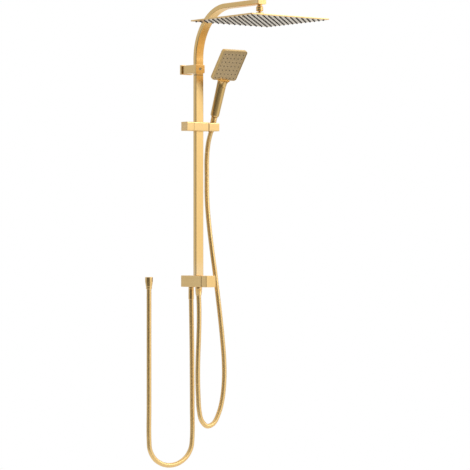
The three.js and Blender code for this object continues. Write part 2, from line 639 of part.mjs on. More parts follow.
function addRainHead() {
  const { side, corner, bottom, top, plate, plateThickness } = HEAD;
  const at = (geometry) => geometry.translate(0, -HEAD_P, 0);
  const plateTop = bottom + plateThickness;
  const collar = { bottom: 797.8, foot: 17, shoulder: BALL.z + 8.5, edge: 1.2, waist: 12.3 };
  const hub = { radius: BALL.seatOuter - 0.1, top: 799.6, bore: 5.6 };

  const seat = (from, to) => turnedZ([
    ...arcProfile(BALL.seatInner, from, to, BALL.z),
    ...arcProfile(BALL.seatOuter, to, from, BALL.z),
    [Math.sqrt(BALL.seatInner ** 2 - from ** 2), BALL.z + from],
  ]);
  addPart('ball_seat_upper', 'nylon', at(seat(1.2, 5.5)));
  addPart('ball_seat_lower', 'nylon', at(seat(-6, -1.2)));
  addPart('ball_collar', 'gold', at(turnedZ([
    [BALL.cavity, collar.bottom], ...arcProfile(BALL.cavity, 0, 7, BALL.z), [8.6, collar.shoulder],
    [collar.waist - collar.edge, collar.shoulder], [collar.waist, collar.shoulder - collar.edge],
    [collar.waist, BALL.z + 1], [13.5, BALL.z - 3], [collar.foot, collar.bottom],
    [BALL.cavity, collar.bottom],
  ])));
  const crownTop = collar.bottom - GAP;
  const crown = turnedZ([
    [0, top - 1], [132, top - 1], [128, top], [60, top + 2], [collar.foot, crownTop], [hub.radius, crownTop],
    [hub.radius, hub.top], [0, hub.top]], 32);
  const recess = rectangle(plate + 2 * GAP, plate + 2 * GAP, corner - 1);
  addPart('head_shell', 'gold', cut(
    join(alongZ(rectangle(side, side, corner), bottom, top), crown),
    alongZ(recess, bottom - 1, bottom + 2.6),
    turnedZ(rod(hub.bore, bottom, hub.top + 1)),
  ).translate(0, -HEAD_P, 0));
  addPart('head_plate', 'gold', at(alongZ(rectangle(plate, plate, corner - 1), bottom, plateTop)));
  addPart('head_nozzle_mat', 'silicone', at(alongZ(
    rectangle(plate - 8, plate - 8, 3), plateTop + 0.2, plateTop + 1.1)));
}

addDiverter();
addHoseConnections();
addRiser();
addGooseneck();
addBracket();
addSlider();
addHolder();
addHandset();
addRainHead();
addPart('handset_hose', 'gold', hoseTube(HANDSET_HOSE_ROUTE));
addPart('supply_hose', 'gold', hoseTube(SUPPLY_HOSE_ROUTE));

export default column;
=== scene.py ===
"""A wall-mounted shower column in brushed gold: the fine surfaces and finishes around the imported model.

Shapes are worked out in millimetres (X to the right, Y into the wall, Z up) and become metres when
a piece is made.
"""
import json
import math

import bpy
import numpy as np
from mathutils import Matrix, Vector


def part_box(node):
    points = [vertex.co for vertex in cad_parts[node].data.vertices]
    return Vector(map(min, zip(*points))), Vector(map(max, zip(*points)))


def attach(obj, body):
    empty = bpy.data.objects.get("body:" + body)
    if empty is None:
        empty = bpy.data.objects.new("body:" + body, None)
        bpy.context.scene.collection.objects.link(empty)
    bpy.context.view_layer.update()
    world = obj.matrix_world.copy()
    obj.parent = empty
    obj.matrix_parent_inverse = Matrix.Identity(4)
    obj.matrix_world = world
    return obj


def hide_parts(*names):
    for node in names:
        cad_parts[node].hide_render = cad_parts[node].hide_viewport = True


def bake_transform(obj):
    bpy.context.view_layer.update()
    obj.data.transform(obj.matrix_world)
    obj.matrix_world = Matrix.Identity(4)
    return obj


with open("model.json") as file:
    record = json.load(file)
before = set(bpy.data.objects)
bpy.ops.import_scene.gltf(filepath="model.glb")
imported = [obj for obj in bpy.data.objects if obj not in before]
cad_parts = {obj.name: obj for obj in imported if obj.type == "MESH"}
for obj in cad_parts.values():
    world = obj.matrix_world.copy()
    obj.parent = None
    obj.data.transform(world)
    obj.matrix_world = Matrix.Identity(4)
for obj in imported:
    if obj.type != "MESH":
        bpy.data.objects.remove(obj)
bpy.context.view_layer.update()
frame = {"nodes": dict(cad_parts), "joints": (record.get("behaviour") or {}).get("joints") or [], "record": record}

MM = 0.001
FLOOR_Z = -0.95


def node_box(name):
    """A CAD node's lowest and highest corners, in millimetres."""
    low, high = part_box(name)
    return np.array(low) / MM, np.array(high) / MM


def middle(name):
    low, high = node_box(name)
    return (low + high) / 2


JOINTS = {joint["name"]: joint for joint in frame["joints"]}

# ---- camera

CAMERA_BEARING = math.radians(37.7)  # how far the camera stands round to the left of straight ahead
CAMERA_DISTANCE = 7.59
CAMERA_HEIGHT = 0.107
CAMERA_ASIDE = 0.1555  # how far the picture's middle lies to the right of the wall plate
LENS = 185.1
SENSOR_WIDTH = 36
RISE = 0.0255  # how far the picture is shifted up, as a share of its width


def add_camera():
    forward = Vector((math.sin(CAMERA_BEARING), math.cos(CAMERA_BEARING), 0))
    right = Vector((forward.y, -forward.x, 0))
    data = bpy.data.cameras.new("camera")
    data.lens, data.sensor_width, data.shift_y = LENS, SENSOR_WIDTH, RISE
    camera = bpy.data.objects.new("camera", data)
    camera.location = right * CAMERA_ASIDE - forward * CAMERA_DISTANCE + Vector((0, 0, CAMERA_HEIGHT))
    camera.rotation_euler = forward.to_track_quat("-Z", "Y").to_euler()
    bpy.context.scene.collection.objects.link(camera)
    bpy.context.scene.camera = camera


add_camera()

# ---- materials


class Nodes:
    """A short way to build a node tree."""

    def __init__(self, tree):
        self.tree = tree

    def add(self, kind, **values):
        """A node; values are its properties, or its inputs by name."""
        node = self.tree.nodes.new("ShaderNode" + kind)
        for key, value in values.items():
            if hasattr(node, key):
                setattr(node, key, value)
            else:
                self.link(value, node.inputs[key.replace("_", " ")])
        return node

    def link(self, value, socket):
        if isinstance(value, bpy.types.NodeSocket):
            self.tree.links.new(value, socket)
        else:
            socket.default_value = value

    def scaled(self, coordinates, scale):
        return self.add("Mapping", Vector=coordinates, Scale=scale).outputs["Vector"]

    def noise(self, coordinates, scale, detail=3.0, roughness=0.5):
        node = self.add("TexNoise", Vector=coordinates, Scale=scale, Detail=detail)
        node.inputs["Roughness"].default_value = roughness
        return node.outputs["Fac"]

    def ranged(self, value, low, high, to_low, to_high, easing="LINEAR"):
        node = self.add("MapRange", Value=value, interpolation_type=easing)
        for key, number in (("From Min", low), ("From Max", high), ("To Min", to_low), ("To Max", to_high)):
            node.inputs[key].default_value = number
        return node.outputs["Result"]

    def maths(self, operation, first, second):
        node = self.add("Math", operation=operation)
        self.link(first, node.inputs[0])
        self.link(second, node.inputs[1])
        return node.outputs[0]

    def mixed(self, factor, first, second, blend="MIX"):
        node = self.add("Mix", data_type="RGBA", blend_type=blend)
        self.link(factor, node.inputs["Factor"])
        self.link(first, node.inputs["A"])
        self.link(second, node.inputs["B"])
        return node.outputs["Result"]

    def bump(self, height, strength, distance):
        return self.add("Bump", Height=height, Strength=strength, Distance=distance).outputs["Normal"]


class Finish(Nodes):
    """A material with its node tree."""

    def __init__(self, name):
        self.material = bpy.data.materials.new(name)
        self.material.use_nodes = True
        super().__init__(self.material.node_tree)
        self.shader = next(n for n in self.tree.nodes if n.type == "BSDF_PRINCIPLED")


def rgba(red, green, blue):
    """A linear colour from 8-bit screen values."""
    return (*(((value / 255 + 0.055) / 1.055) ** 2.4 for value in (red, green, blue)), 1.0)


def metal(name, colour, dark, roughness, lay=None, brush=0.05, bump=0.07, wear=0.35):
    """Satin metal. lay names the attribute that holds (across, across, along) the brushing, in metres."""
    n = Finish(name)
    plain = n.add("TexCoord").outputs["Object"]
    along = n.add("Attribute", attribute_name=lay).outputs["Vector"] if lay else plain
    lines = n.noise(n.scaled(along, (2600, 2600, 22)), 1.0, 4.0, 0.6)
    wide_lines = n.noise(n.scaled(along, (520, 520, 6)), 1.0, 3.0)
    patches = n.noise(plain, 14.0, 4.0)
    specks = n.noise(plain, 2400.0, 2.0)
    edges = n.ranged(n.add("NewGeometry").outputs["Pointiness"], 0.51, 0.6, 0.0, wear)
    tone = n.maths("ADD", n.maths("MULTIPLY", lines, 0.55), n.maths("MULTIPLY", wide_lines, 0.45))
    base = n.mixed(n.ranged(tone, 0.3, 0.7, 0.0, 1.0), dark, colour)
    base = n.mixed(n.ranged(patches, 0.35, 0.75, 0.0, 0.22), base, dark)
    lighter = tuple(min(1.0, 0.35 + 0.65 * c) for c in colour[:3]) + (1.0,)
    n.link(n.mixed(edges, base, lighter), n.shader.inputs["Base Color"])
    gloss = n.maths("ADD", n.ranged(lines, 0.25, 0.75, roughness - brush, roughness + brush),
                    n.ranged(patches, 0.3, 0.7, -0.035, 0.035))
    n.link(n.maths("SUBTRACT", gloss, n.maths("MULTIPLY", edges, 0.1)), n.shader.inputs["Roughness"])
    height = n.maths("ADD", lines, n.maths("MULTIPLY", specks, 0.35))
    n.link(n.bump(height, bump, 0.00004), n.shader.inputs["Normal"])
    n.shader.inputs["Metallic"].default_value = 1.0
    return n.material


def moulded(name, colour, roughness, mottle=0.25, grain=900.0, bump=0.15):
    """Rubber, silicone or nylon: a fine moulded grain with slow changes of tone."""
    n = Finish(name)
    plain = n.add("TexCoord").outputs["Object"]
    patches = n.noise(plain, 45.0, 4.0)
    fine = n.noise(plain, grain, 3.0, 0.6)
    darker = tuple(0.6 * c for c in colour[:3]) + (1.0,)
    dusty = tuple(min(1.0, 0.06 + 1.15 * c) for c in colour[:3]) + (1.0,)
    base = n.mixed(n.ranged(patches, 0.3, 0.7, 0.0, mottle), colour, darker)
    edges = n.ranged(n.add("NewGeometry").outputs["Pointiness"], 0.52, 0.62, 0.0, 0.5)
    n.link(n.mixed(edges, base, dusty), n.shader.inputs["Base Color"])
    n.link(n.ranged(fine, 0.3, 0.7, roughness - 0.07, roughness + 0.07), n.shader.inputs["Roughness"])
    n.link(n.bump(fine, bump, 0.00006), n.shader.inputs["Normal"])
    n.shader.inputs["Specular IOR Level"].default_value = 0.4
    return n.material


LAY = "lay"
GOLD = rgba(250, 214, 148)
GOLD_DARK = rgba(240, 198, 126)

brushed_gold = metal("brushed_gold", GOLD, GOLD_DARK, 0.3, LAY)
satin_gold = metal("satin_gold", GOLD, rgba(243, 203, 133), 0.24, LAY, brush=0.04, bump=0.06)
handset_gold = metal("handset_gold", rgba(232, 198, 134), rgba(220, 182, 116), 0.27, LAY, bump=0.06)
# painted shade: the spray face's gold is darker than the other golds to stand in for the shade on the
# downward-tilted face
face_gold_painted_shade = metal("face_gold_painted_shade", rgba(200, 174, 128), rgba(184, 156, 108), 0.36, LAY, brush=0.05, bump=0.08)
plate_gold = metal("plate_gold", rgba(222, 210, 188), rgba(206, 192, 168), 0.3, LAY, brush=0.05, bump=0.06)
hose_gold = metal("hose_gold", rgba(246, 212, 146), rgba(232, 190, 120), 0.27, LAY, brush=0.05, bump=0.08)
plated_gold = metal("plated_gold", GOLD, GOLD_DARK, 0.28)
raw_brass = metal("raw_brass", rgba(214, 178, 104), rgba(188, 148, 78), 0.36, bump=0.25)
steel = metal("steel", rgba(206, 206, 204), rgba(176, 178, 180), 0.3, bump=0.2)
rubber = moulded("rubber", (0.018, 0.018, 0.019, 1), 0.72)
silicone = moulded("silicone", (0.075, 0.070, 0.066, 1), 0.5)
nylon = moulded("nylon", (0.72, 0.69, 0.62, 1), 0.45, mottle=0.12)
grey_nylon = moulded("grey_nylon", (0.16, 0.15, 0.135, 1), 0.45, mottle=0.2)

SLOT_MATERIALS = {
    "gold_brass": plated_gold, "gold_steel": plated_gold, "gold_plastic": plated_gold,
    "hose_metal": plated_gold, "raw_brass": raw_brass, "steel": steel, "rubber": rubber,
    "silicone": silicone, "nylon": nylon,
}

# ---- shapes as (points, faces)


def rounded_rectangle(width, depth, corner, steps=6):
    """Points of a rounded rectangle about the origin, anticlockwise."""
    points = []
    for quarter, (across, up) in enumerate(((1, 1), (-1, 1), (-1, -1), (1, -1))):
        for i in range(steps + 1):
            angle = math.pi / 2 * (quarter + i / steps)
            points.append((across * (width / 2 - corner) + corner * math.cos(angle),
                           up * (depth / 2 - corner) + corner * math.sin(angle)))
    return np.array(points)


def circle(radius, sides=48):
    angles = np.arange(sides) * 2 * math.pi / sides
    return radius * np.stack([np.cos(angles), np.sin(angles)], 1)


def loft(rings, around=False):
    """A skin over rings of equally many points. The ends are capped, or joined to each other."""
    count, total = len(rings[0]), len(rings)
    faces = []
    for r in range(total if around else total - 1):
        low, high = r * count, (r + 1) % total * count
        for i in range(count):
            j = (i + 1) % count
            faces.append((low + i, low + j, high + j, high + i))
    if not around:
        faces.append(tuple(reversed(range(count))))
        faces.append(tuple(range((total - 1) * count, total * count)))
    return np.concatenate(rings), faces


def together(shapes):
    points, faces, start = [], [], 0
    for own_points, own_faces in shapes:
        points.append(own_points)
        faces += [tuple(start + i for i in face) for face in own_faces]
        start += len(own_points)
    return np.concatenate(points), faces


def softened(profile, radius, steps=4):
    """An open line of points with its inner corners rounded."""
    profile = [np.array(p, float) for p in profile]
    points = [profile[0]]
    for before, corner, after in zip(profile, profile[1:], profile[2:]):
        back, on = before - corner, after - corner
        cut = min(radius, 0.45 * np.linalg.norm(back), 0.45 * np.linalg.norm(on))
        start, end = corner + back / np.linalg.norm(back) * cut, corner + on / np.linalg.norm(on) * cut
        for i in range(steps + 1):
            t = i / steps
            points.append((1 - t) ** 2 * start + 2 * t * (1 - t) * corner + t * t * end)
    return points + [profile[-1]]


# Places an outline (u, v) at a height h along an axis. "y" runs out from the wall.
AXES = {
    "x": lambda u, v, h: (h, u, v),
    "y": lambda u, v, h: (u, -h, v),
    "z": lambda u, v, h: (u, v, h),
}


def ring(outline, height, axis, centre=(0, 0)):
    u, v = outline[:, 0] + centre[0], outline[:, 1] + centre[1]
    return np.stack(AXES[axis](u, v, np.full(len(u), float(height))), 1)


def turned(profile, axis="z", centre=(0, 0), sides=64, soft=0.0, hollow=False):
    """A turned piece: profile is (radius, height) points, from its low end to its high end."""
    line = softened(profile, soft) if soft else profile
    return loft([ring(circle(max(r, 0.02), sides), h, axis, centre) for r, h in line], around=hollow)


def edge_steps(edge, steps=4):
    """(inset, height) of a rounded edge, from the end face outwards."""
    angles = [math.pi / 2 * i / steps for i in range(steps + 1)]
    return [(edge * (1 - math.sin(a)), edge * (1 - math.cos(a))) for a in angles]


def bar(size, low, high, axis="z", centre=(0, 0), corner=2.0, edge=0.5, steps=6):
    """A prism of rounded-rectangle section with rounded end edges."""
    lift = [(inset, low + h) for inset, h in edge_steps(edge)]
    drop = [(inset, high - h) for inset, h in reversed(edge_steps(edge))]
    rings = []
    for inset, height in lift + drop:
        width, depth = (length - 2 * inset for length in size)
        rings.append(ring(rounded_rectangle(width, depth, max(corner - inset, 0.15), steps),
                          height, axis, centre))
    return loft(rings)


def box_bar(node, axis, corner, edge):
    """The rounded bar that fills a CAD node's box."""
    low, high = node_box(node)
    size, centre = high - low, (low + high) / 2
    if axis == "x":
        return bar((size[1], size[2]), low[0], high[0], "x", (centre[1], centre[2]), corner, edge)
    if axis == "y":
        return bar((size[0], size[2]), -high[1], -low[1], "y", (centre[0], centre[2]), corner, edge)
    return bar((size[0], size[1]), low[2], high[2], "z", (centre[0], centre[1]), corner, edge)


def drill(radius, low, high, axis="z", centre=(0, 0), flare=0.0, sides=48):
    """A round cutter, with a chamfer at its high end that is twice flare wide."""
    chamfer = [(radius, high - 2 * flare), (radius + 2 * flare, high)] if flare else [(radius, high)]
    return turned([(radius, low), *chamfer], axis, centre, sides)


def placed(shape, matrix):
    points, faces = shape
    m = np.array(matrix)
    return points @ m[:3, :3].T + m[:3, 3], faces


# ---- pieces


def mesh_object(name, shape):
    points, faces = shape
    mesh = bpy.data.meshes.new(name)
    mesh.from_pydata((np.asarray(points) * MM).tolist(), [], faces)
    made = bpy.data.objects.new(name, mesh)
    bpy.context.scene.collection.objects.link(made)
    return made


def evaluated_mesh(obj):
    return bpy.data.meshes.new_from_object(obj.evaluated_get(bpy.context.evaluated_depsgraph_get()))


def carve(obj, shapes, operation="DIFFERENCE"):
    """Cuts closed shapes out of an object, or joins them to it."""
    tools = [mesh_object("tool", shape) for shape in shapes]
    for tool in tools:
        modifier = obj.modifiers.new("carve", "BOOLEAN")
        modifier.operation, modifier.solver, modifier.object = operation, "EXACT", tool
    obj.data = evaluated_mesh(obj)
    obj.modifiers.clear()
    for tool in tools:
        bpy.data.objects.remove(tool)


def points_of(mesh):
    flat = np.zeros(len(mesh.vertices) * 3, np.float32)
    mesh.vertices.foreach_get("co", flat)
    return flat.reshape(-1, 3).astype(float)


def lay_along(axis):
    """Brushing that runs along an axis."""
    order = {"x": (1, 2, 0), "y": (0, 2, 1), "z": (0, 1, 2)}[axis]
    return lambda points: points[:, order]


def lay_round(axis, centre):
    """Turning marks: brushing that runs round an axis through a centre, in metres."""
    along = {"x": 0, "y": 1, "z": 2}[axis]
    others = [i for i in range(3) if i != along]

    def lay(points):
        away = points[:, others] - np.array(centre)[others]
        return np.stack([np.linalg.norm(away, axis=1), points[:, along], 0.15 * away[:, 0]], 1)
    return lay


def set_lay(mesh, lay):
    attribute = mesh.attributes.new(LAY, "FLOAT_VECTOR", "POINT")
    attribute.data.foreach_set("vector", lay(points_of(mesh)).astype(np.float32).ravel())


def finish_mesh(obj, material, lay, sharp=38):
    mesh = obj.data
    set_lay(mesh, lay)
    mesh.materials.clear()
    mesh.materials.append(material)
    mesh.shade_smooth()
    if sharp:
        mesh.set_sharp_from_angle(angle=math.radians(sharp))
        modifier = obj.modifiers.new("flat_faces", "WEIGHTED_NORMAL")
        modifier.keep_sharp = True


def add_piece(name, shape, material, body, *nodes, slot="gold_brass", cuts=(), lay=None, sharp=38):
    """Makes one visible piece that stands for CAD nodes and rides on their body."""
    obj = mesh_object(name, shape)
    if cuts:
        carve(obj, cuts)
    finish_mesh(obj, material, lay or lay_along("z"), sharp)
    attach(obj, body)
    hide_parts(*nodes)
    return obj


# ---- hoses

HOSE_DIAMETER = 15.0
HOSE_PITCH = 3.2  # one turn of the metal winding
HOSE_GROOVE = 0.4
HOSE_SIDES = 20
STEPS_PER_TURN = 5

HANDSET_HOSE_ROUTE = [
    (0, -0.069, -0.0453), (0.0012, -0.0693, -0.080), (0.0009, -0.0698, -0.130),
    (-0.001, -0.070, -0.185), (-0.0034, -0.070, -0.240), (-0.0044, -0.070, -0.300),
    (-0.0026, -0.070, -0.355), (0.0011, -0.070, -0.402), (0.0103, -0.070, -0.434),
    (0.032, -0.070, -0.453), (0.058, -0.070, -0.445), (0.079, -0.070, -0.412),
    (0.0925, -0.070, -0.368), (0.0995, -0.070, -0.308), (0.0985, -0.070, -0.245),
    (0.0925, -0.0695, -0.180), (0.0845, -0.068, -0.108), (0.076, -0.0648, -0.032),
    (0.0686, -0.061, 0.035), (0.0614, -0.0565, 0.098), (0.055, -0.0497, 0.176),
    (0.0516, -0.044, 0.254), (0.0532, -0.0405, 0.330), (0.0536, -0.0405, 0.390),
    (0.0542, -0.0475, 0.435), (0.0544, -0.0606, 0.4677),
]
SUPPLY_HOSE_ROUTE = [
    (0, -0.030, -0.0573), (0.001, -0.030, -0.110), (0.0025, -0.030, -0.190),
    (0.0035, -0.030, -0.290), (0.004, -0.030, -0.390), (0.004, -0.030, -0.489),
    (-0.001, -0.030, -0.522), (-0.0185, -0.030, -0.5485), (-0.047, -0.030, -0.566),
    (-0.079, -0.030, -0.572), (-0.112, -0.030, -0.5665), (-0.141, -0.030, -0.549),
    (-0.1585, -0.030, -0.521), (-0.1625, -0.030, -0.486), (-0.1625, -0.030, -0.390),
    (-0.1625, -0.030, -0.280), (-0.1625, -0.030, -0.160), (-0.1625, -0.030, -0.080),
    (-0.1625, -0.030, -0.0233),
]


def centripetal(route, samples=60):
    """The centripetal Catmull-Rom curve through a route's points."""
    points = np.array(route, float)
    points = np.vstack([2 * points[0] - points[1], points, 2 * points[-1] - points[-2]])
    line = []
    for p0, p1, p2, p3 in zip(points, points[1:], points[2:], points[3:]):
        d0, d1, d2 = (math.sqrt(np.linalg.norm(b - a)) for a, b in ((p0, p1), (p1, p2), (p2, p3)))
        m1 = d1 * ((p1 - p0) / d0 - (p2 - p0) / (d0 + d1) + (p2 - p1) / d1)
        m2 = d1 * ((p2 - p1) / d1 - (p3 - p1) / (d1 + d2) + (p3 - p2) / d2)
        for t in np.arange(samples) / samples:
            line.append((2 * t ** 3 - 3 * t ** 2 + 1) * p1 + (t ** 3 - 2 * t ** 2 + t) * m1
                        + (3 * t ** 2 - 2 * t ** 3) * p2 + (t ** 3 - t ** 2) * m2)
    return np.array(line + [points[-2]])


def even_steps(line, step):
    """The line again, with equal steps near the given length, and the length along it."""
    along = np.concatenate([[0], np.cumsum(np.linalg.norm(np.diff(line, axis=0), axis=1))])
    at = np.linspace(0, along[-1], round(along[-1] / step) + 1)
    return np.stack([np.interp(at, along, line[:, k]) for k in range(3)], 1), at


def carried_frames(line):
    """Two directions across a line at each of its points, carried along without twisting."""
    tangents = np.gradient(line, axis=0)
    tangents /= np.linalg.norm(tangents, axis=1)[:, None]
    side = np.cross(tangents[0], (0, 1, 0))
    sides = []
    for tangent in tangents:
        side = side - tangent * (side @ tangent)
        side /= np.linalg.norm(side)
        sides.append(side)
    sides = np.array(sides)
    return sides, np.cross(tangents, sides)


class Hose:
    """A metal-wound hose: a tube whose surface carries the spiral groove of its winding."""

    def __init__(self, route):
        self.line, self.at = even_steps(centripetal(route), HOSE_PITCH * MM / STEPS_PER_TURN)
        self.sides, self.ups = carried_frames(self.line)
        self.length = self.at[-1]
        self.angles = np.arange(HOSE_SIDES) * 2 * math.pi / HOSE_SIDES

    def piece(self, name, start, end):
        """The tube between two lengths along the hose, with its ends closed."""
        first, last = np.searchsorted(self.at, (start - 1e-9, end + 1e-9))
        rings, lays = [], []
        for i in range(first, last):
            turns = self.at[i] / (HOSE_PITCH * MM) - self.angles / (2 * math.pi)
            groove = np.clip(np.cos(2 * math.pi * turns), 0, 1) ** 1.5
            radius = (HOSE_DIAMETER / 2 - HOSE_GROOVE * groove) * MM
            across, up = radius * np.cos(self.angles), radius * np.sin(self.angles)
            rings.append(self.line[i] + across[:, None] * self.sides[i] + up[:, None] * self.ups[i])
            lays.append(np.stack([np.full(HOSE_SIDES, self.at[i]), radius, across * 0.2], 1))
        points, faces = loft(rings)
        obj = mesh_object(name, (points / MM, faces))
        finish_mesh(obj, hose_gold, lambda _: np.concatenate(lays), sharp=0)
        along = np.repeat(self.at[first:last], HOSE_SIDES)
        return obj, self.line[first:last], along

    def bend(self, name, start, end):
        """A stretch between two lengths along the hose, as a piece of its own."""
        obj, path, along = self.piece(name, start, end)
        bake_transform(obj)
        return obj, path


def add_handset_hose():
    hose = Hose(HANDSET_HOSE_ROUTE)
    grip_length, lift_length = 0.075, 0.066  # lengths of the stretch next to the holder and of the stretch at the handset end
    tilt_start = hose.length - grip_length - lift_length
    lift_start = hose.length - lift_length
    free, path = hose.bend("handset_hose_free", 0, tilt_start)
    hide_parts("handset_hose")
    bent, _ = hose.bend("handset_hose_bend", tilt_start, lift_start)
    top, _ = hose.bend("handset_hose_top", lift_start, hose.length)


def add_supply_hose():
    hose = Hose(SUPPLY_HOSE_ROUTE)
    obj, path, _ = hose.piece("supply_hose_tube", 0, hose.length)
    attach(obj, "column")
    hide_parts("supply_hose")


def add_supply_connector():
    low, high = node_box("supply_connector")
    centre = middle("supply_connector")
    radius = (high[0] - low[0]) / 2
    bottom, top = low[2], high[2]
    outside = [(4.2, bottom), (8.3, bottom), (9.1, bottom + 1.0), (9.3, bottom + 6.0),
               (8.9, bottom + 6.5), (8.9, bottom + 7.5), (9.5, bottom + 8.0), (radius, top - 14),
               (radius, top - 0.9), (radius - 0.9, top)]
    inside = [(9.4, top), (8.6, top - 1.2), (8.0, top - 1.4), (8.0, top - 13.7), (4.2, top - 13.7),
              (4.2, bottom)]
    shape = turned(softened(outside + inside, 0.5), "z", centre, 72, hollow=True)
    return add_piece("supply_connector_shell", shape, satin_gold, "column", "supply_connector",
                     lay=lay_round("z", centre * MM))


supply_connector_shell = add_supply_connector()
add_supply_hose()
add_handset_hose()

# ---- diverter


def ringed(radius_at, start, end, count, bulge):
    """A turned profile from start to end with that many rounded rings round it."""
    profile = []
    for share in np.arange(count * 8 + 1) / (count * 8):
        height = start + (end - start) * share
        depth = bulge * (0.5 + 0.5 * math.cos(2 * math.pi * count * share))
        profile.append((radius_at(height) - depth, height))
    return profile


PORT_RADIUS = 8.3
PORT_DEPTH = 10.6
WALL_CAVITY = {"side": 29, "depth": 12, "corner": 2}  # fits over the wall plate
CARTRIDGE_BORE = 15
SPIGOT_HOLE = {"radius": 7.2, "bottom": 5}
KNOB_RECESS = {"radius": 13, "depth": 0.8}
STEM_HOLE = {"radius": 4.6, "end": 116.5}
GRUB_HOLE = 2.3


def add_diverter():
    low, high = node_box("diverter_body")
    column_centre = middle("riser_tube")[:2]
    cartridge = middle("cartridge_housing")
    cartridge_back = -node_box("cartridge_seal")[1][1]
    ports = [drill(PORT_RADIUS, low[2] - 1, low[2] + PORT_DEPTH, "z", middle(node))
             for node in ("outlet_nipple", "inlet_nipple")]
    add_piece(
        "diverter_casing", box_bar("diverter_body", "y", 2.5, 0.9), brushed_gold, "column", "diverter_body",
        lay=lay_along("y"), cuts=[
            bar([WALL_CAVITY["side"]] * 2, -5, WALL_CAVITY["depth"], "y", corner=WALL_CAVITY["corner"],
                edge=0.1),
            drill(CARTRIDGE_BORE, cartridge_back - 0.3, -low[1] + 1, "y", (0, cartridge[2]), flare=0.6),
            drill(SPIGOT_HOLE["radius"], SPIGOT_HOLE["bottom"], high[2] + 1, "z", column_centre),
            *ports,
        ])

    knob_low, knob_high = node_box("diverter_knob")
    add_piece(
        "diverter_knob_block", box_bar("diverter_knob", "y", 2.5, 0.9), brushed_gold, "diverter_knob",
        "diverter_knob", lay=lay_along("x"), cuts=[
            drill(KNOB_RECESS["radius"], -knob_high[1] - 1, -knob_high[1] + KNOB_RECESS["depth"], "y"),
            drill(STEM_HOLE["radius"], -knob_high[1] - 7, STEM_HOLE["end"], "y"),
            drill(GRUB_HOLE, knob_low[2] - 1, -2, "z", (0, middle("knob_grub_screw")[1])),
        ])
    add_piece("knob_face_plate", box_bar("knob_face", "y", 2.4, 0.45), brushed_gold, "diverter_knob",
              "knob_face", lay=lay_along("x"))


def add_hose_fittings():
    low, high = node_box("outlet_hose_nut")
    centre = middle("outlet_hose_nut")
    top, bottom = high[2], low[2]
    upper, lower = (high[0] - low[0]) / 2, 8.8

    def cone(height):
        return lower + (upper - lower) * min(1.0, (height - bottom) / (top - 11.7 - bottom))

    outside = [(3.5, bottom), (7.9, bottom), (lower - 0.3, bottom + 0.8)]
    outside += ringed(cone, bottom + 2.2, top - 5.2, 5, 0.8)
    outside += [(upper - 0.5, top - 4.6), (upper, top - 4.0), (upper, top - 0.7), (upper - 0.7, top)]
    inside = [(6.3, top), (6.3, bottom + 12.9), (3.5, bottom + 12.9), (3.5, bottom)]
    add_piece("outlet_cone_nut", turned(outside + inside, "z", centre, 72, hollow=True), satin_gold,
              "column", "outlet_hose_nut", lay=lay_round("z", centre * MM))

    low, high = node_box("inlet_hose_ferrule")
    centre = middle("inlet_hose_ferrule")
    top, bottom, radius = high[2], low[2], (high[0] - low[0]) / 2
    outside = [(3.5, bottom), (7.8, bottom), (radius - 0.2, bottom + 0.5), (radius, bottom + 1.4),
               (radius, top - 6.4), (radius - 0.5, top - 5.9), (radius - 0.5, top - 5.1),
               (radius, top - 4.6), (radius, top - 0.6), (radius - 0.6, top)]
    inside = [(6.3, top), (6.3, bottom + 24.9), (3.5, bottom + 24.9), (3.5, bottom)]
    add_piece("inlet_ferrule", turned(softened(outside, 0.3) + inside, "z", centre, 72, hollow=True),
              satin_gold, "column", "inlet_hose_ferrule", lay=lay_round("z", centre * MM))


add_diverter()
add_hose_fittings()

# ---- riser and gooseneck

COLUMN_CORNER = 2.5
COLUMN_WALL = 1.5
BEND_RADIUS = 152.5  # to the middle of the gooseneck's tube
STEM_BORE = 5.7


def tube_rings(outline_at, stations):
    """Rings of a hollow section: out along the outside, and back along the inside."""
    edge = edge_steps(0.45, 3)
    outside = [outline_at(stations[0] + h, -inset) for inset, h in edge]
    outside += [outline_at(s, 0) for s in stations[1:-1]]
    outside += [outline_at(stations[-1] - h, -inset) for inset, h in reversed(edge)]
    return outside + [outline_at(s, -COLUMN_WALL) for s in reversed(stations)]


def section(width, depth, grow):
    corner = max(COLUMN_CORNER + grow, 0.5)
    return rounded_rectangle(width + 2 * grow, depth + 2 * grow, corner, 6)


def add_riser():
    low, high = node_box("riser_tube")
    width, depth, _ = high - low
    centre = middle("riser_tube")[:2]
    grub = middle("riser_grub_screw")
    stations = np.linspace(low[2], high[2], 12)
    rings = tube_rings(lambda h, grow: ring(section(width, depth, grow), h, "z", centre), stations)
    add_piece("riser", loft(rings, around=True), brushed_gold, "column", "riser_tube", slot="gold_steel",
              cuts=[drill(GRUB_HOLE, 58, 64, "y", (grub[0], grub[2]))])


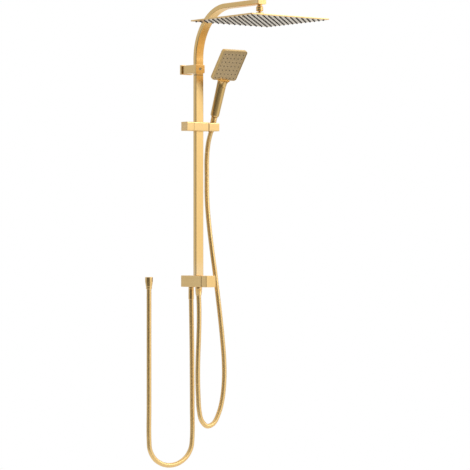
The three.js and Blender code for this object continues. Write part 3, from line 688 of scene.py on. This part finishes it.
def add_gooseneck():
    low, high = node_box("gooseneck_arm")
    column_low, column_high = node_box("riser_tube")
    width, depth = column_high[0] - column_low[0], column_high[1] - column_low[1]
    column_y = middle("riser_tube")[1]
    arm_z = high[2] - depth / 2
    bend_y, bend_z = column_y - BEND_RADIUS, arm_z - BEND_RADIUS
    rise, arc = bend_z - low[2], BEND_RADIUS * math.pi / 2
    total = rise + arc + bend_y - low[1]

    def outline_at(s, grow):
        """The tube's outline at a length along its middle."""
        angle = min(max((s - rise) / BEND_RADIUS, 0), math.pi / 2)
        out = BEND_RADIUS * (1 - math.cos(angle)) + max(s - rise - arc, 0)
        middle_point = np.array([0, column_y - out, low[2] + min(s, rise) + BEND_RADIUS * math.sin(angle)])
        flat = section(width, depth, grow)
        normal = np.array([0, math.cos(angle), math.sin(angle)])
        return middle_point + flat[:, :1] * np.array([1, 0, 0]) + flat[:, 1:] * normal

    stations = [0, rise * 0.5, *(rise + arc * np.linspace(0, 1, 49)), *np.linspace(rise + arc, total, 6)[1:]]

    def lay(points):
        """Brushing that follows the bend."""
        y, z = points[:, 1] / MM, points[:, 2] / MM
        angle = np.arctan2(z - bend_z, y - bend_y)
        radius = np.hypot(y - bend_y, z - bend_z)
        bent = (z > bend_z) & (y > bend_y)
        across = np.where(bent, radius, np.where(z <= bend_z, y - bend_y, z - bend_z))
        along = np.where(bent, rise + BEND_RADIUS * angle, np.where(z <= bend_z, z - low[2], total - y))
        return np.stack([points[:, 0], across * MM, along * MM], 1)

    stem = middle("ball_stem")[:2]
    add_piece("gooseneck", loft(tube_rings(outline_at, stations), around=True), brushed_gold, "column",
              "gooseneck_arm", slot="gold_steel", lay=lay,
              cuts=[drill(STEM_BORE, arm_z - depth, arm_z - 3, "z", stem)])

    cap_low, cap_high = node_box("arm_end_cap")
    cap = bar((width, depth), -low[1] + 0.3, -cap_low[1], "y", (0, arm_z), COLUMN_CORNER, 0.6)
    plug = bar((width - 2 * COLUMN_WALL - 0.6, depth - 2 * COLUMN_WALL - 0.6), -cap_high[1],
               -low[1] + 1.2, "y", (0, arm_z), 0.8, 0.3)
    made = mesh_object("end_cap", cap)
    carve(made, [plug], "UNION")
    finish_mesh(made, brushed_gold, lay_along("x"))
    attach(made, "column")
    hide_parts("arm_end_cap")


add_riser()
add_gooseneck()

# ---- ball joint and rain head


BALL_RADIUS = 8.0
CAVITY_RADIUS = 10.3  # of the hollow for the ball seats


def add_ball_joint():
    low, high = node_box("ball_stem")
    centre = middle("ball_stem")
    ball_z = JOINTS["head_spin"]["pos_m"][2] / MM
    swivel = (high[0] - low[0]) / 2
    neck_top = high[2]
    ball = [(BALL_RADIUS * math.cos(a), ball_z + BALL_RADIUS * math.sin(a))
            for a in np.radians(np.linspace(-61, 55.8, 22))]
    outside = softened([
        ball[-1], (4.5, 818), (8.4, 818), (swivel, 820.2), (swivel, 824.6), (swivel - 0.5, 825.1),
        (swivel - 0.5, 826), (swivel, 826.5), (swivel, 831), (swivel - 1.6, 833), (7.5, 833), (7.5, 838.7),
        (5.3, 838.7), (5.3, neck_top), (3, neck_top), (3, ball[0][1]), ball[0]], 0.5)
    add_piece("swivel_stem", turned(ball + outside[1:-1], "z", centre, 72, hollow=True), satin_gold, "column",
              "ball_stem", lay=lay_round("z", centre * MM))

    low, high = node_box("ball_collar")
    bottom, top = low[2], high[2]
    foot = (high[0] - low[0]) / 2
    hollow = [(CAVITY_RADIUS * math.cos(a), ball_z + CAVITY_RADIUS * math.sin(a))
              for a in np.radians(np.linspace(0, 42.8, 10))]
    outside = softened([
        (CAVITY_RADIUS, bottom), (foot, bottom), (foot - 0.2, bottom + 0.9), (14.2, bottom + 3.4),
        (12.8, bottom + 7.2), (12.4, ball_z + 2), (12.3, top - 1.4), (11.1, top), (8.7, top)], 0.7)
    add_piece("ball_collar_nut", turned(outside + hollow[::-1], "z", centre, 72, hollow=True), satin_gold,
              "rain_head", "ball_collar", lay=lay_round("z", middle("ball_collar") * MM))


NOZZLES_PER_SIDE = 14
NOZZLE_PITCH = 21.0
NOZZLE = {"drop": 3.0, "base": 3.25, "tip": 2.3, "hole": 3.4}
HEAD_CORNER = 5.0
HEAD_EDGE = 1.2
HUB_RADII = (16.5, 9.9, 5.6)  # of the hub on the shell: outside, step and bore
HUB_FLOOR = 799.6


def nozzle(base_z, tip_z, base_radius, tip_radius, centre, sides=14):
    """A soft nozzle that hangs down from its mat, with its hole in the tip."""
    length = base_z - tip_z
    profile = [
        (0.45 * tip_radius, tip_z + 0.35 * length), (0.45 * tip_radius, tip_z),
        (0.8 * tip_radius, tip_z), (tip_radius, tip_z + 0.12 * length),
        (0.5 * (tip_radius + base_radius), tip_z + 0.55 * length), (base_radius, tip_z + 0.75 * length),
        (base_radius, base_z)]
    return turned(profile, "z", centre, sides)


def add_rain_head():
    low, high = node_box("head_shell")
    centre = middle("head_shell")[:2]
    side = high[0] - low[0]
    bottom, crown = low[2], high[2]
    rim_top = bottom + 4
    plate_low, plate_high = node_box("head_plate")
    recess = plate_high[0] - plate_low[0] + 0.6

    def square(size, z, corner_radius, roundness=0.0):
        """A rounded square that turns into a circle as roundness goes to one."""
        flat = rounded_rectangle(size, size, corner_radius, 12)
        angles = np.arctan2(flat[:, 1], flat[:, 0])
        disc = size / 2 * np.stack([np.cos(angles), np.sin(angles)], 1)
        return ring(flat * (1 - roundness) + disc * roundness, z, "z", centre)

    edge = edge_steps(HEAD_EDGE)
    rings = [square(side - 2 * i, bottom + h, HEAD_CORNER - i) for i, h in edge]
    rings += [square(side - 2 * i, rim_top - h, HEAD_CORNER - i) for i, h in reversed(edge)]
    for share in np.linspace(0.05, 1, 26):
        size = (side - 3) * (1 - share) + 34 * share
        rise = (crown - 0.3 - rim_top) * (0.5 - 0.5 * math.cos(math.pi * share)) ** 1.2
        rings.append(square(size, rim_top + rise, max(HEAD_CORNER - HEAD_EDGE, 0.02 * size), share ** 0.6))
    hub, step, bore = (2 * radius for radius in HUB_RADII)
    floor = bottom + 2.6
    rings += [square(size, z, 3, 1) for size, z in (
        (hub, crown), (step, crown), (step, HUB_FLOOR), (bore, HUB_FLOOR), (bore, floor))]
    rings += [square(recess, z, HEAD_CORNER - 1) for z in (floor, bottom)]
    add_piece("rain_head_shell", loft(rings, around=True), brushed_gold, "rain_head", "head_shell",
              slot="gold_steel", lay=lay_along("x"))

    places = (np.arange(NOZZLES_PER_SIDE) - (NOZZLES_PER_SIDE - 1) / 2) * NOZZLE_PITCH
    centres = [(centre[0] + x, centre[1] + y) for x in places for y in places]
    holes = together([drill(NOZZLE["hole"], bottom - 1, plate_high[2] + 1, "z", c, sides=14)
                      for c in centres])
    add_piece("rain_head_plate", box_bar("head_plate", "z", 4, 0.3), plate_gold, "rain_head", "head_plate",
              slot="gold_steel", cuts=[holes], lay=lay_along("x"))
    mat = box_bar("head_nozzle_mat", "z", 3, 0.2)
    mat_bottom = node_box("head_nozzle_mat")[0][2]
    jets = [nozzle(mat_bottom + 0.2, bottom - NOZZLE["drop"], NOZZLE["base"], NOZZLE["tip"], c)
            for c in centres]
    add_piece("rain_head_jets", together([mat, *jets]), silicone, "rain_head", "head_nozzle_mat",
              slot="silicone")


add_ball_joint()
add_rain_head()

# ---- wall bracket


SCREW_HOLE = 2.2


def hex_cutter(radius, low, high, axis, centre):
    return loft([ring(circle(radius, 6), h, axis, centre) for h in (low, high)])


def add_bracket():
    low, high = node_box("bracket_base")
    centre = middle("bracket_post")
    screws = [middle(f"bracket_wall_screw_{i}") for i in (1, 2)]
    flange = bar((high[0] - low[0], high[2] - low[2]), 0, 8.5, "y", (0, centre[2]), 2, 0.8)
    add_piece("bracket_flange", flange, brushed_gold, "column", "bracket_base", lay=lay_along("x"),
              cuts=[drill(SCREW_HOLE, -1, 9, "y", (screw[0], screw[2])) for screw in screws])

    post_low, post_high = node_box("bracket_post")
    sleeve_low, sleeve_high = node_box("riser_tube")
    width, depth = sleeve_high[0] - sleeve_low[0] + 0.5, sleeve_high[1] - sleeve_low[1] + 0.5
    sleeve = bar((width, depth), post_low[2] - 2, post_high[2] + 2, "z", (0, middle("riser_tube")[1]),
                 COLUMN_CORNER, 0.1)
    add_piece("bracket_arm", box_bar("bracket_post", "y", 2, 0.8), brushed_gold, "column", "bracket_post",
              lay=lay_along("y"), cuts=[
                  sleeve,
                  bar((28, 19), 0, 32, "y", (0, centre[2]), 1.5, 0.2),
                  drill(4.6, 67, -post_low[1] + 0.3, "y", (0, centre[2]), flare=0.4),
              ])
    screw_low, screw_high = node_box("bracket_clamp_screw")
    add_piece("clamp_screw", turned([(0.5, -screw_high[1]), (4, -screw_high[1]), (4, -screw_low[1] - 0.5),
                                     (3.5, -screw_low[1])], "y", (0, centre[2]), 48),
              steel, "column", "bracket_clamp_screw", slot="steel", lay=lay_round("y", centre * MM),
              cuts=[hex_cutter(2, -screw_high[1] + 0.7, -screw_low[1] + 1, "y", (0, centre[2]))])


add_bracket()

# ---- slider and holder


SPINDLE_HOLE = 3.3
PIVOT_HOLE = 3.8
GROOVE_PITCH = 4.5  # of the grooves across the lock knob's end


def add_slider():
    low, high = node_box("slider_body")
    liner_low, liner_high = node_box("slider_liner")
    centre = middle("slider_body")
    slot_size = (liner_high[0] - liner_low[0] + 0.5, liner_high[1] - liner_low[1] + 0.5)
    slot_cut = bar(slot_size, low[2] - 2, high[2] + 2, "z", middle("slider_liner")[:2], 4, 0.1)
    add_piece("slider_block", box_bar("slider_body", "x", 3, 0.5), brushed_gold, "slider", "slider_body",
              lay=lay_along("x"), cuts=[
                  slot_cut,
                  drill(SPINDLE_HOLE, low[0] - 1, -15, "x", centre[1:]),
                  drill(PIVOT_HOLE, 20, high[0] + 1, "x", centre[1:]),
              ])

    knob_low, knob_high = node_box("lock_knob")
    depth = knob_high[1] - knob_low[1]
    knob_middle = middle("lock_knob")
    grooves = [bar((depth + 4, 1.7), knob_low[0] - 2, knob_low[0] + 1.2, "x",
                   (knob_middle[1], knob_middle[2] + GROOVE_PITCH * i), 0.6, 0.3) for i in range(-2, 3)]
    add_piece("ribbed_lock_knob", box_bar("lock_knob", "x", 3, 0.7), brushed_gold, "lock_knob", "lock_knob",
              lay=lay_along("x"), cuts=[
                  drill(SPINDLE_HOLE, -44.4, knob_high[0] + 1, "x", knob_middle[1:]), *grooves])


HANDSET_UP = Vector(JOINTS["handset_lift"]["axis"])
HANDSET_TILT = math.atan2(-HANDSET_UP.y, HANDSET_UP.z)
NIPPLE_MIDDLE = 35.75  # how far along the handset's axis the middle of its nipple lies
HANDSET_PLACE = (Matrix.Translation(Vector(middle("handset_nipple")) - HANDSET_UP * NIPPLE_MIDDLE)
                 @ Matrix.Rotation(HANDSET_TILT, 4, "X"))
NUT = {"bottom": -15.0, "top": 35.0, "lower": 8.8, "upper": 10.2}


def nut_radius(along):
    share = (along - NUT["bottom"]) / (NUT["top"] - NUT["bottom"])
    return NUT["lower"] + (NUT["upper"] - NUT["lower"]) * share


def seat_cutter(clearance):
    """The tilted cone that the holder's seat leaves for the hose nut."""
    return placed(turned([(nut_radius(along) + clearance, along) for along in (-40, 40)]), HANDSET_PLACE)


def add_holder():
    left = node_box("handset_holder")[0][0]
    pivot = middle("holder_pivot")
    add_piece("holder_block", box_bar("handset_holder", "x", 3, 0.9), brushed_gold, "holder",
              "handset_holder", lay=lay_along("x"),
              cuts=[seat_cutter(1.5), drill(PIVOT_HOLE, left - 1, 36.8, "x", pivot[1:])])


add_slider()
add_holder()

# ---- handset

HANDLE = {"start": 35.4, "end": 156.8, "lower": 13.6, "upper": 15.0}
SPRAY = {"front": 19.6, "along": 207.5, "width": 94.5, "length": 108.0, "corner": 8.0, "depth": 12.5}
SPRAY_TILT = math.radians(15.4)
SPRAY_PLACE = Matrix.Translation((0, -SPRAY["front"], SPRAY["along"])) @ Matrix.Rotation(SPRAY_TILT, 4, "X")
SPRAY_RIM = 1.8  # width of the rim round the spray face
BUTTON = {"along": 143.6, "width": 18.4, "length": 19.2, "crown": 16.0, "back": 9.6, "pocket": 6.8}
SHOULDER = 156.0  # how far along the handle its front ends, under the spray face
FROM_SPRAY = np.array(SPRAY_PLACE.inverted())


def soft_least(a, b, width):
    """The smaller of two distances, blended where they are within that width."""
    share = np.clip(0.5 + 0.5 * (b - a) / width, 0, 1)
    return b * (1 - share) + a * share - width * share * (1 - share)


def soft_most(a, b, width):
    return -soft_least(-a, -b, width)


def handset_distance(points):
    """Distance to the handset's skin, below zero inside: a handle that flows into the spray head."""
    x, y, z = points.T
    share = (z - HANDLE["start"]) / (HANDLE["end"] - HANDLE["start"])
    side = np.hypot(x, y) - (HANDLE["lower"] + (HANDLE["upper"] - HANDLE["lower"]) * share)
    handle = soft_most(side, HANDLE["start"] - z, 6)
    handle = soft_most(handle, z - HANDLE["end"], 6)
    local = points @ FROM_SPRAY[:3, :3].T + FROM_SPRAY[:3, 3]
    corner = SPRAY["corner"]
    over_x = np.abs(local[:, 0]) - (SPRAY["width"] / 2 - corner)
    over_z = np.abs(local[:, 2]) - (SPRAY["length"] / 2 - corner)
    outline = (np.hypot(np.maximum(over_x, 0), np.maximum(over_z, 0))
               + np.minimum(np.maximum(over_x, over_z), 0) - corner)
    head = soft_most(outline, local[:, 1] - SPRAY["depth"], 6)
    head = np.maximum(head, -6 - local[:, 1])  # runs on in front of the face, which is cut flat later
    return soft_least(handle, head, 13)


def settle(points, distance, rounds=6):
    """Moves points onto the surface where the distance is zero."""
    step = 0.05
    for _ in range(rounds):
        here = distance(points)
        slope = np.stack([(distance(points + step * axis) - distance(points - step * axis)) / (2 * step)
                          for axis in np.eye(3)], 1)
        move = here / np.maximum((slope ** 2).sum(1), 0.2)
        points = points - np.clip(move, -2, 2)[:, None] * slope
    return points


def handset_skin():
    """The handset's outer skin as one even mesh."""
    rough = together([
        turned([(12, HANDLE["start"]), (14, HANDLE["start"] + 6), (14.5, HANDLE["end"])], sides=32),
        bar((34, 20), 130, 180, "z", (0, -2), 8, 2),
        placed(bar((SPRAY["width"], SPRAY["length"]), -SPRAY["depth"], 6, "y", corner=9, edge=1),
               SPRAY_PLACE),
    ])
    obj = mesh_object("skin", rough)
    remesh = obj.modifiers.new("remesh", "REMESH")
    remesh.mode, remesh.voxel_size = "VOXEL", 1.5 * MM
    mesh = evaluated_mesh(obj)
    points = settle(points_of(mesh) / MM, handset_distance)
    faces = [tuple(polygon.vertices) for polygon in mesh.polygons]
    bpy.data.objects.remove(obj)
    return points, faces


def in_handset(shape):
    return placed(shape, HANDSET_PLACE)


def in_spray(shape):
    return placed(shape, HANDSET_PLACE @ SPRAY_PLACE)


def spray_bar(shrink, from_depth, to_depth, edge):
    """A rounded slab parallel to the spray face, between two depths behind it."""
    size = (SPRAY["width"] - 2 * shrink, SPRAY["length"] - 2 * shrink)
    return bar(size, -to_depth, -from_depth, "y", corner=SPRAY["corner"] - shrink, edge=edge, steps=10)


def handset_lay(points):
    """Brushing along the handset's own axis."""
    inverse = np.array(HANDSET_PLACE.inverted())
    return points @ inverse[:3, :3].T + inverse[:3, 3] * MM


def stadium(width, length, steps=14):
    return rounded_rectangle(width, length, width / 2 - 0.01, steps)


def button_shape():
    """A domed oval button that follows the handle's curve, dished a little for a thumb."""
    outline = stadium(BUTTON["width"], BUTTON["length"])

    def top(flat):
        x, z = flat.T
        dish = 0.5 * np.exp(-(x ** 2 / 24 + z ** 2 / 60))
        return np.sqrt(BUTTON["crown"] ** 2 - x ** 2) - dish

    def level(scale, drop):
        flat = outline * scale
        height = top(flat) - drop
        return np.stack([flat[:, 0], -height, flat[:, 1] + BUTTON["along"]], 1)

    rings = [ring(outline, BUTTON["back"], "y", (0, BUTTON["along"]))]
    rings += [level(1 - inset / 8, 0.9 - h) for inset, h in reversed(edge_steps(0.9))]
    rings += [level(scale, 0) for scale in np.linspace(0.88, 0.04, 12)]
    return loft(rings)


def spring_coil():
    """The button's small coil spring, with its ends closed flat."""
    turns, wire, radius = 3.5, 0.3, 3.6
    low, high = BUTTON["pocket"] + wire + 0.03, BUTTON["back"] - wire - 0.03
    rings = []
    for angle in np.linspace(0, turns * 2 * math.pi, int(turns * 24)):
        share = np.clip((angle / (2 * math.pi) - 0.6) / (turns - 1.2), 0, 1)
        round_wire = circle(wire, 8)
        out = radius + round_wire[:, 0]
        rings.append(np.stack([out * math.cos(angle), -(low + (high - low) * share + round_wire[:, 1]),
                               BUTTON["along"] + out * math.sin(angle)], 1))
    return loft(rings)


def spray_nozzles():
    """Where the nozzles sit on the spray face: seven rows of six."""
    return [((column - 2.5) * 14.1, 39.4 - row * 14.2) for row in range(7) for column in range(6)]


def add_handset():
    pocket_gap = 0.55
    pocket = placed(loft([ring(stadium(BUTTON["width"] + 2 * pocket_gap, BUTTON["length"] + 2 * pocket_gap),
                               h, "y", (0, BUTTON["along"])) for h in (BUTTON["pocket"], 30)]), HANDSET_PLACE)
    front_cut = in_spray(bar((SPRAY["width"] + 6, SPRAY["length"] + 1), 0, 30, "y", corner=9, edge=0.1))
    shoulder_cut = in_handset(bar((60, 28.8), SHOULDER, SHOULDER + 2.2, "z", (0, -20.6), 0.5, 0.1))
    bore = in_handset(turned([(7.5, 20), (7.5, 48), (5.5, 48.5), (5.5, 150)], sides=40))
    add_piece("handset_body", in_handset(handset_skin()), handset_gold, "handset", "handset_shell",
              slot="gold_plastic", lay=handset_lay, sharp=32, cuts=[
                  front_cut, shoulder_cut, in_spray(spray_bar(SPRAY_RIM, -5, 8, 0.2)), bore, pocket])
    places = spray_nozzles()
    holes = together([drill(1.75, -3, 1.5, "y", (x, z), sides=16) for x, z in places])
    add_piece("handset_spray_plate", in_spray(spray_bar(SPRAY_RIM + 0.35, 0.35, 2.3, 0.5)), face_gold_painted_shade,
              "handset", "handset_face", slot="gold_plastic", lay=handset_lay, cuts=[in_spray(holes)])
    jets = [nozzle(-2.8, 0.9, 1.65, 1.25, place) for place in places]
    outward = [(np.stack([p[:, 0], -p[:, 2], p[:, 1]], 1), [f[::-1] for f in faces]) for p, faces in jets]
    mat = spray_bar(SPRAY_RIM + 2, 2.6, 4.6, 0.2)
    add_piece("handset_jets", in_spray(together([mat, *outward])), silicone, "handset",
              "handset_nozzle_mat", slot="silicone")
    add_piece("handset_button", in_handset(button_shape()), handset_gold, "selector_button",
              "selector_button", slot="gold_plastic", lay=handset_lay, sharp=50)

    coil = mesh_object("button_coil", in_handset(spring_coil()))
    finish_mesh(coil, steel, lay_along("z"))
    ends = [tuple(MM * (HANDSET_PLACE @ Vector((0, -depth, BUTTON["along"]))))
            for depth in (BUTTON["pocket"], BUTTON["back"])]
    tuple(ends[0])
    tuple(ends[1])
    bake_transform(coil)
    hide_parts("button_spring")

    rings = ringed(nut_radius, 15.0, NUT["top"] - 2.4, 4, 1.0)
    outside = softened([(3.6, NUT["bottom"]), (7.4, NUT["bottom"]), (nut_radius(-13.6), -13.6), rings[0]],
                       0.5) + rings[1:]
    outside += [(nut_radius(33.4), NUT["top"] - 1.6), (nut_radius(34), NUT["top"] - 0.5),
                (nut_radius(34) - 0.5, NUT["top"])]
    inside = [(6.5, NUT["top"]), (6.5, 21.7), (3.6, 21.7), (3.6, NUT["bottom"])]
    add_piece("handset_cone_nut", in_handset(turned(outside + inside, sides=72, hollow=True)), handset_gold,
              "handset", "hose_cone_nut", lay=handset_lay)


add_handset()

# ---- what stays as the CAD has it


def dress_cad_nodes():
    """Gives each CAD node that still shows the finish of its slot, and the nylon rims a darker one."""
    for subpart in frame["record"]["subparts"]:
        name = subpart["node"]
        finish = SLOT_MATERIALS[subpart["material_slot"]]
        if name in ("slider_liner", "holder_liner"):
            finish = grey_nylon
        frame["nodes"][name].data.materials.clear()
        frame["nodes"][name].data.materials.append(finish)


dress_cad_nodes()

# ---- floor and light


def add_floor():
    floor = mesh_object("floor", loft([ring(circle(1600, 96), FLOOR_Z / MM - d, "z") for d in (8, 0)]))
    n = Finish("floor")
    plain = n.add("TexCoord").outputs["Object"]
    tone = n.ranged(n.noise(plain, 3.0), 0.3, 0.7, 0.0, 0.15)
    n.link(n.mixed(tone, (0.93, 0.93, 0.93, 1), (0.9, 0.9, 0.9, 1)), n.shader.inputs["Base Color"])
    n.shader.inputs["Roughness"].default_value = 0.8
    floor.data.materials.append(n.material)


# Soft lights all round, as (direction, reach in degrees from full to none, colour, strength).
GLOWS = [
    ((0.61, -0.79, 0.12), (26, 60), (1.0, 0.99, 0.97), 0.84),
    ((-0.61, 0.79, 0.05), (16, 44), (0.9, 0.94, 1.0), 0.56),
    ((0.75, 0.66, 0.0), (25, 60), (1.0, 1.0, 1.0), 0.7),
    ((0.0, 0.0, 1.0), (35, 75), (1.0, 1.0, 1.0), 0.8),
    ((0.0, 0.0, -1.0), (35, 75), (1.0, 0.98, 0.95), 0.32),
]
AMBIENT = (0.13, 0.13, 0.13, 1)


def add_world():
    """The glows and an even light all round, with plain white where the camera sees past the object."""
    world = bpy.data.worlds.new("studio")
    bpy.context.scene.world = world
    world.use_nodes = True
    n = Nodes(world.node_tree)
    n.tree.nodes.clear()
    direction = n.add("TexCoord").outputs["Generated"]
    light = AMBIENT
    for place, (full, none), colour, strength in GLOWS:
        toward = n.add("VectorMath", operation="DOT_PRODUCT")
        n.link(direction, toward.inputs[0])
        n.link(Vector(place).normalized(), toward.inputs[1])
        edge, core = (math.cos(math.radians(reach)) for reach in (none, full))
        share = n.ranged(toward.outputs["Value"], edge, core, 0.0, 1.0, "SMOOTHSTEP")
        glow = n.mixed(share, (0, 0, 0, 1), (*(strength * c for c in colour), 1))
        light = n.mixed(1.0, light, glow, "ADD")
    choose = n.add("MixShader", Fac=n.add("LightPath").outputs["Is Camera Ray"])
    n.link(n.add("Background", Color=light).outputs["Background"], choose.inputs[1])
    n.link(n.add("Background", Color=(1, 1, 1, 1)).outputs["Background"], choose.inputs[2])
    n.link(choose.outputs["Shader"], n.add("OutputWorld").inputs["Surface"])


def add_softbox(place, target, size, watts):
    data = bpy.data.lights.new("softbox", "AREA")
    data.shape, data.size, data.size_y = "RECTANGLE", *size
    data.energy = watts
    light = bpy.data.objects.new("softbox", data)
    light.location = place
    light.rotation_euler = (Vector(target) - Vector(place)).to_track_quat("-Z", "Y").to_euler()
    bpy.context.scene.collection.objects.link(light)


add_floor()
add_world()
add_softbox((2.4, -2.6, 2.2), (0, 0, 0.2), (1.6, 1.6), 30)
bpy.context.scene.view_settings.view_transform = "Standard"
